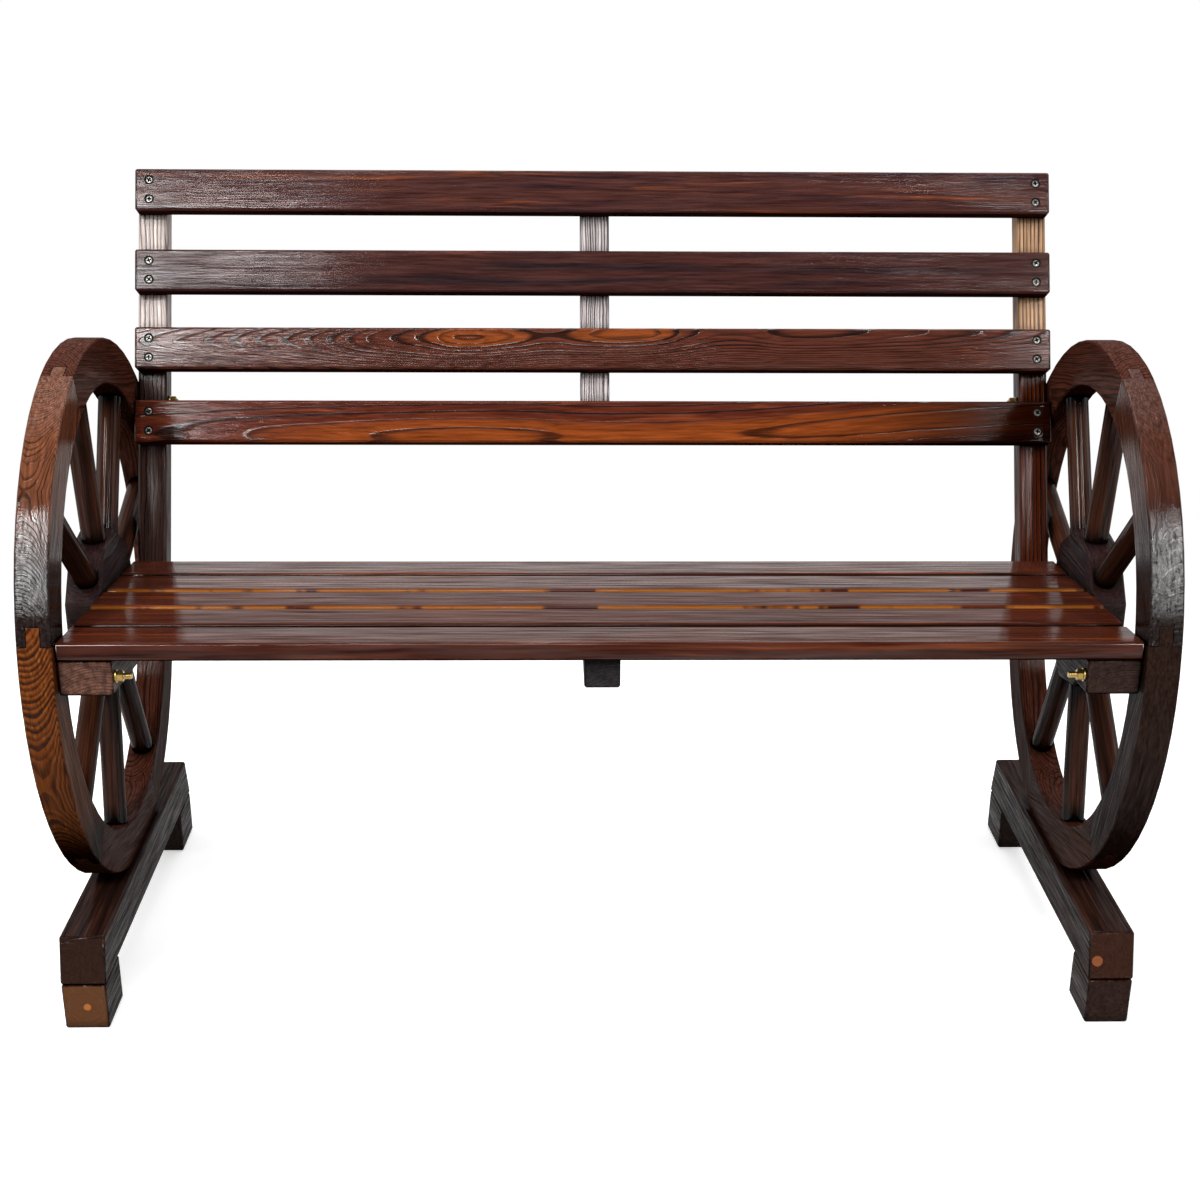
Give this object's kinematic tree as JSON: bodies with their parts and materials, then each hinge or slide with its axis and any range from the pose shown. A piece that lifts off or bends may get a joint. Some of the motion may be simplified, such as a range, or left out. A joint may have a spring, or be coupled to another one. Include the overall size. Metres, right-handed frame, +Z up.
{
  "type": "wagon wheel bench",
  "caption": "Slatted garden bench seat and leaning slatted back carried between two fixed wooden wagon wheels that stand on footed beams.",
  "frame": {"origin": "on the floor, at the middle of the bench's bounding box", "axes": "+X to the right of someone facing the bench, -Y to its front, +Z up"},
  "size_m": [1.1128, 0.6028, 0.8019],
  "materials": {
    "rim_fir": "charred stain, gloss",
    "spoke_fir": "red-brown stain, gloss",
    "base_fir": "red-brown stain, gloss",
    "seat_fir": "charred stain, gloss",
    "back_fir": "red-brown stain, gloss",
    "post_fir": "grey-brown stain, gloss",
    "yellow_zinc_steel": "yellow zinc plated",
    "bright_zinc_steel": "bright zinc plated"
  },
  "bodies": {
    "root": {"felloe_left_1": "rim_fir", "felloe_left_2": "rim_fir", "felloe_left_3": "rim_fir", "felloe_left_4": "rim_fir", "felloe_left_5": "rim_fir", "felloe_left_6": "rim_fir", "spoke_left_1": "spoke_fir", "spoke_left_2": "spoke_fir", "spoke_left_3": "spoke_fir", "spoke_left_4": "spoke_fir", "spoke_left_5": "spoke_fir", "spoke_left_6": "spoke_fir", "spoke_left_7": "spoke_fir", "spoke_left_8": "spoke_fir", "spoke_left_9": "spoke_fir", "hub_left": "rim_fir", "base_beam_left": "base_fir", "foot_left_front": "base_fir", "foot_left_rear": "base_fir", "felloe_right_1": "rim_fir", "felloe_right_2": "rim_fir", "felloe_right_3": "rim_fir", "felloe_right_4": "rim_fir", "felloe_right_5": "rim_fir", "felloe_right_6": "rim_fir", "spoke_right_1": "spoke_fir", "spoke_right_2": "spoke_fir", "spoke_right_3": "spoke_fir", "spoke_right_4": "spoke_fir", "spoke_right_5": "spoke_fir", "spoke_right_6": "spoke_fir", "spoke_right_7": "spoke_fir", "spoke_right_8": "spoke_fir", "spoke_right_9": "spoke_fir", "hub_right": "rim_fir", "base_beam_right": "base_fir", "foot_right_front": "base_fir", "foot_right_rear": "base_fir", "seat_slat_1": "seat_fir", "seat_slat_2": "seat_fir", "seat_slat_3": "seat_fir", "seat_slat_4": "seat_fir", "seat_slat_5": "seat_fir", "seat_bearer_left": "base_fir", "seat_bearer_centre": "base_fir", "seat_bearer_right": "base_fir", "back_slat_1": "back_fir", "back_slat_2": "back_fir", "back_slat_3": "back_fir", "back_slat_4": "back_fir", "back_post_left": "post_fir", "back_post_right": "post_fir", "back_batten": "post_fir", "bolt_left_front": "yellow_zinc_steel", "bolt_left_hub": "yellow_zinc_steel", "bolt_left_post": "yellow_zinc_steel", "bolt_right_front": "yellow_zinc_steel", "bolt_right_hub": "yellow_zinc_steel", "bolt_right_post": "yellow_zinc_steel"}
  },
  "joints": []
}
